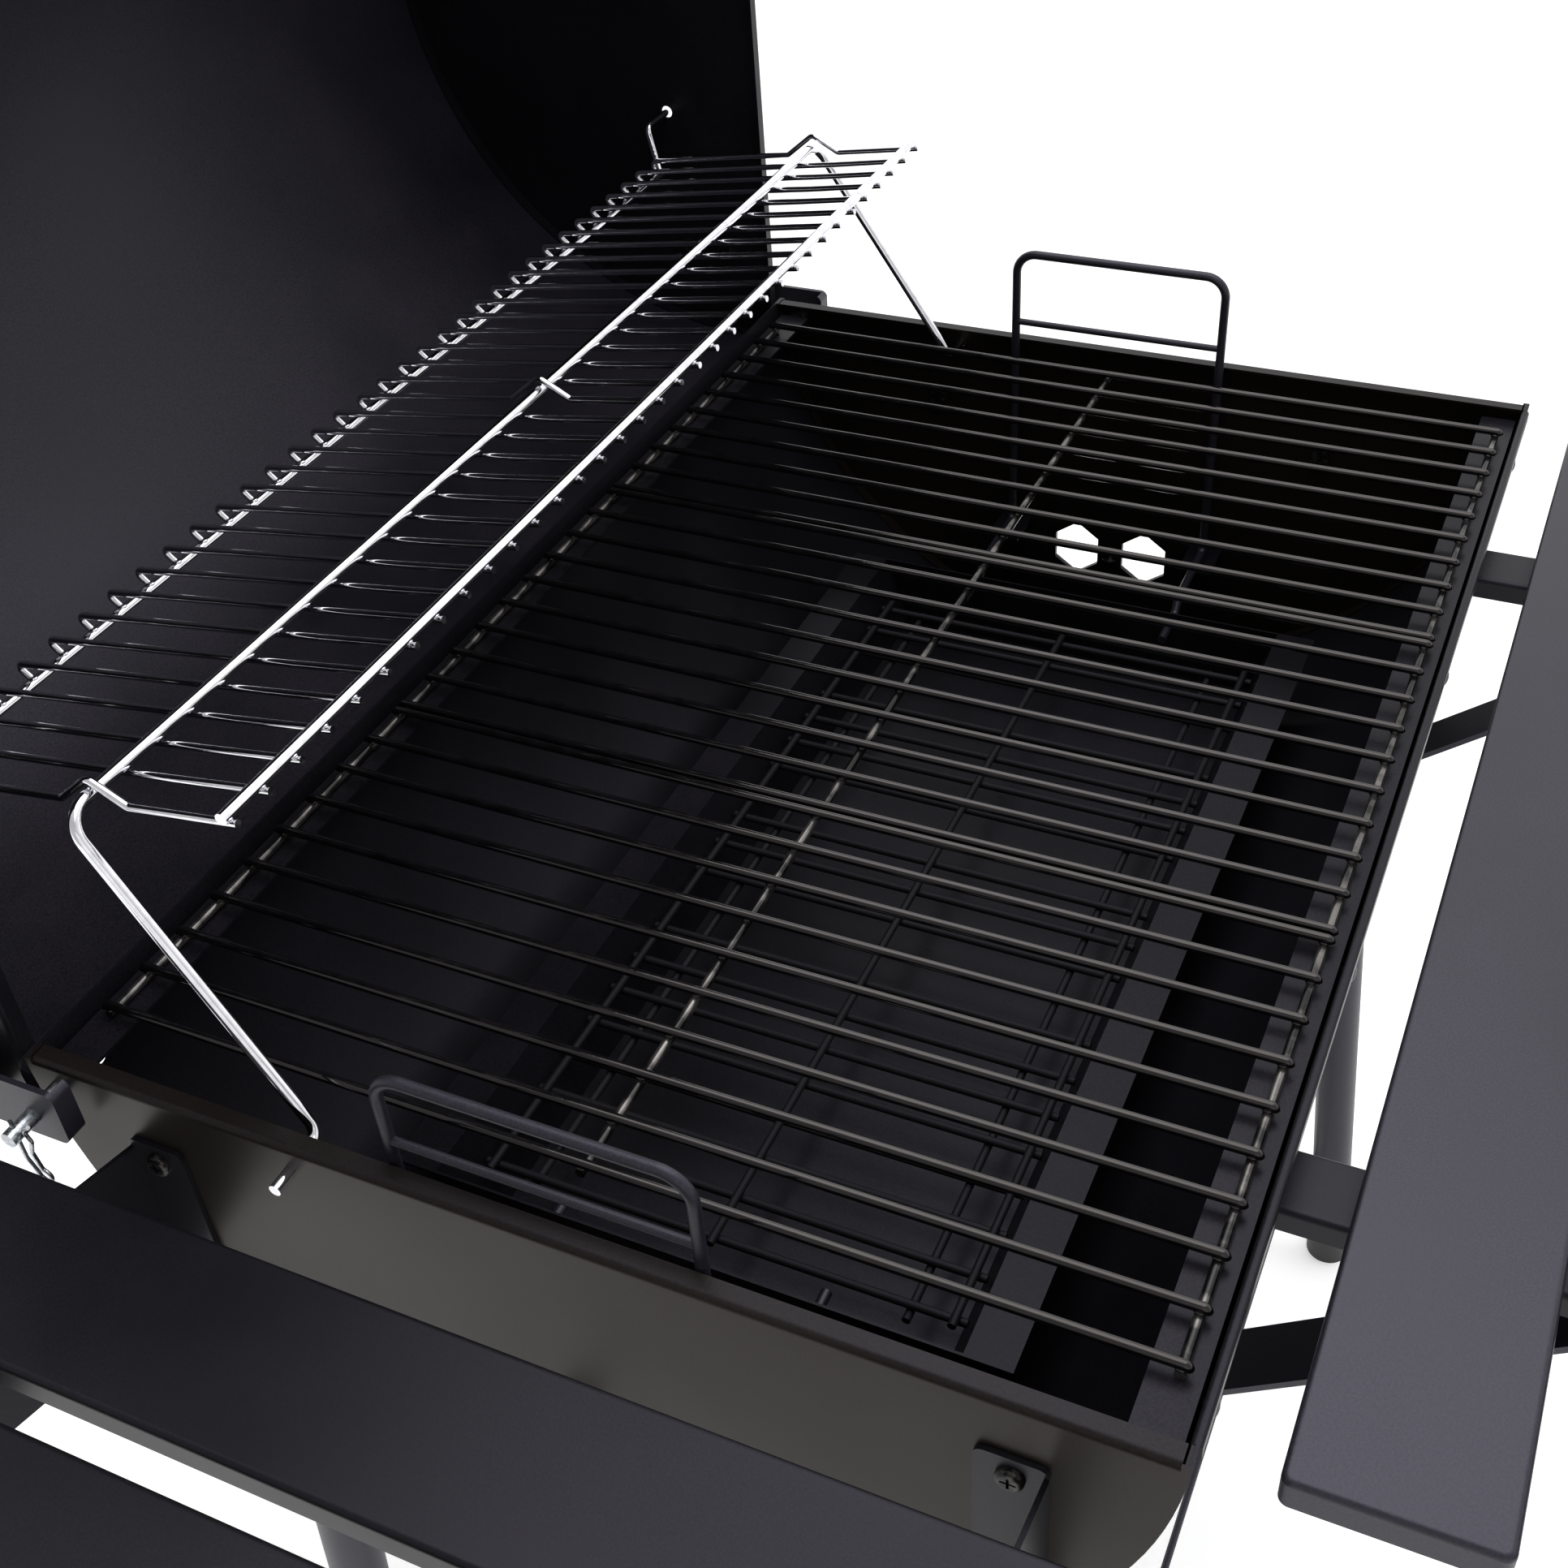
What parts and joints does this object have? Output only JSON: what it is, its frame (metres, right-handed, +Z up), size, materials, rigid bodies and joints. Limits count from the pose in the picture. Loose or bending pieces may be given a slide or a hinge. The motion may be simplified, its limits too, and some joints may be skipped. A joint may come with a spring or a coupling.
{
  "type": "barrel charcoal grill",
  "caption": "Black steel barrel charcoal grill with hinged lid, swinging chrome warming rack, lift-out grates and charcoal tray, front and side shelves, on a wheeled stand.",
  "frame": {"origin": "middle of the base of the whole grill with its lid open, on the floor", "axes": "+X along the barrel from the side shelf towards the carry handle, +Y from the front shelf towards the open lid, +Z up"},
  "size_m": [1.035, 0.8812, 1.1977],
  "materials": {
    "black_powder_coat": "satin",
    "black_enamel": "gloss",
    "chrome": "polished",
    "zinc_steel": "satin",
    "stainless": "brushed",
    "dial_face": "satin",
    "needle_paint": "satin",
    "gauge_glass": "clear",
    "black_plastic": "matte",
    "wheel_rubber": "matte"
  },
  "bodies": {
    "grill": {"axle": "zinc_steel", "axle_caps": "black_plastic", "barrel_shell": "black_powder_coat", "carry_handle": "black_powder_coat", "end_panel_left": "black_powder_coat", "end_panel_right": "black_powder_coat", "foot_caps": "black_plastic", "front_slat_inner": "black_powder_coat", "front_slat_outer": "black_powder_coat", "grate_ledge_back": "black_powder_coat", "grate_ledge_front": "black_powder_coat", "hairpin_clips": "zinc_steel", "hinge_pins": "zinc_steel", "leg_back_left": "black_powder_coat", "leg_back_right": "black_powder_coat", "leg_front_left": "black_powder_coat", "leg_front_right": "black_powder_coat", "leg_rails": "black_powder_coat", "leg_saddles": "black_powder_coat", "lower_rack": "black_powder_coat", "panel_screws": "zinc_steel", "rack_bar": "black_powder_coat", "rivets": "zinc_steel", "shelf_arm_left": "black_powder_coat", "shelf_arm_right": "black_powder_coat", "shelf_struts": "black_powder_coat", "side_bracket_back": "black_powder_coat", "side_bracket_front": "black_powder_coat", "side_slat_inner": "black_powder_coat", "side_slat_middle": "black_powder_coat", "side_slat_outer": "black_powder_coat", "tray_rests": "black_powder_coat"},
    "lid": {"lid_shell": "black_powder_coat", "lid_end_left": "black_powder_coat", "lid_end_right": "black_powder_coat", "hinge_ear_left": "black_powder_coat", "hinge_ear_right": "black_powder_coat", "lid_handle_grip": "stainless", "lid_handle_posts": "black_powder_coat", "lid_bolts": "zinc_steel", "thermometer_case": "stainless", "thermometer_stem": "zinc_steel", "thermometer_dial": "dial_face", "thermometer_needle": "needle_paint", "thermometer_glass": "gauge_glass"},
    "rack_bail": {"rack_support": "chrome"},
    "rack": {"warming_rack": "chrome"},
    "grate_left": {"cooking_grate_left": "black_enamel"},
    "grate_middle": {"cooking_grate_middle": "black_enamel"},
    "grate_right": {"cooking_grate_right": "black_enamel"},
    "tray": {"charcoal_tray": "black_powder_coat", "tray_handle_left": "black_powder_coat", "tray_handle_right": "black_powder_coat", "charcoal_grate": "black_enamel"},
    "shutter_left": {"damper_left": "black_powder_coat"},
    "shutter_right": {"damper_right": "black_powder_coat"},
    "wheel_front": {"wheel_front_tyre": "wheel_rubber", "wheel_front_hub": "black_plastic"},
    "wheel_back": {"wheel_back_tyre": "wheel_rubber", "wheel_back_hub": "black_plastic"}
  },
  "joints": [
    {"name": "lid_hinge", "type": "hinge", "parent": "grill", "child": "lid", "pos_m": [0.1115, 0.18143, 0.723], "axis": [1, 0, 0], "range_deg": [0, 90]},
    {"name": "bail_swing", "type": "hinge", "parent": "grill", "child": "rack_bail", "pos_m": [0.1115, 0.07143, 0.723], "axis": [1, 0, 0], "range_deg": [0, 90]},
    {"name": "rack_stays_level", "type": "hinge", "parent": "rack_bail", "child": "rack", "pos_m": [0.1115, 0.15243, 0.849], "axis": [1, 0, 0], "range_deg": [-90, 0]},
    {"name": "tray_lift", "type": "slide", "parent": "grill", "child": "tray", "axis": [0, 0, 1], "range_m": [0, 0.05]},
    {"name": "grate_left_lift", "type": "slide", "parent": "grill", "child": "grate_left", "axis": [0, 0, 1], "range_m": [0, 0.025]},
    {"name": "grate_middle_lift", "type": "slide", "parent": "grill", "child": "grate_middle", "axis": [0, 0, 1], "range_m": [0, 0.025]},
    {"name": "grate_right_lift", "type": "slide", "parent": "grill", "child": "grate_right", "axis": [0, 0, 1], "range_m": [0, 0.025]},
    {"name": "shutter_left_turn", "type": "hinge", "parent": "grill", "child": "shutter_left", "pos_m": [-0.2385, -0.03057, 0.591], "axis": [1, 0, 0], "range_deg": [0, 90]},
    {"name": "shutter_right_turn", "type": "hinge", "parent": "grill", "child": "shutter_right", "pos_m": [0.4615, -0.03057, 0.591], "axis": [1, 0, 0], "range_deg": [0, 90]},
    {"name": "wheel_front_spin", "type": "hinge", "parent": "grill", "child": "wheel_front", "pos_m": [-0.2185, -0.27457, 0.076], "axis": [0, 1, 0], "continuous": true},
    {"name": "wheel_back_spin", "type": "hinge", "parent": "grill", "child": "wheel_back", "pos_m": [-0.2185, 0.20543, 0.076], "axis": [0, 1, 0], "continuous": true}
  ],
  "couplings": [
    {"joint": "bail_swing", "follows": "lid_hinge", "ratio": 1},
    {"joint": "rack_stays_level", "follows": "lid_hinge", "ratio": -1}
  ]
}
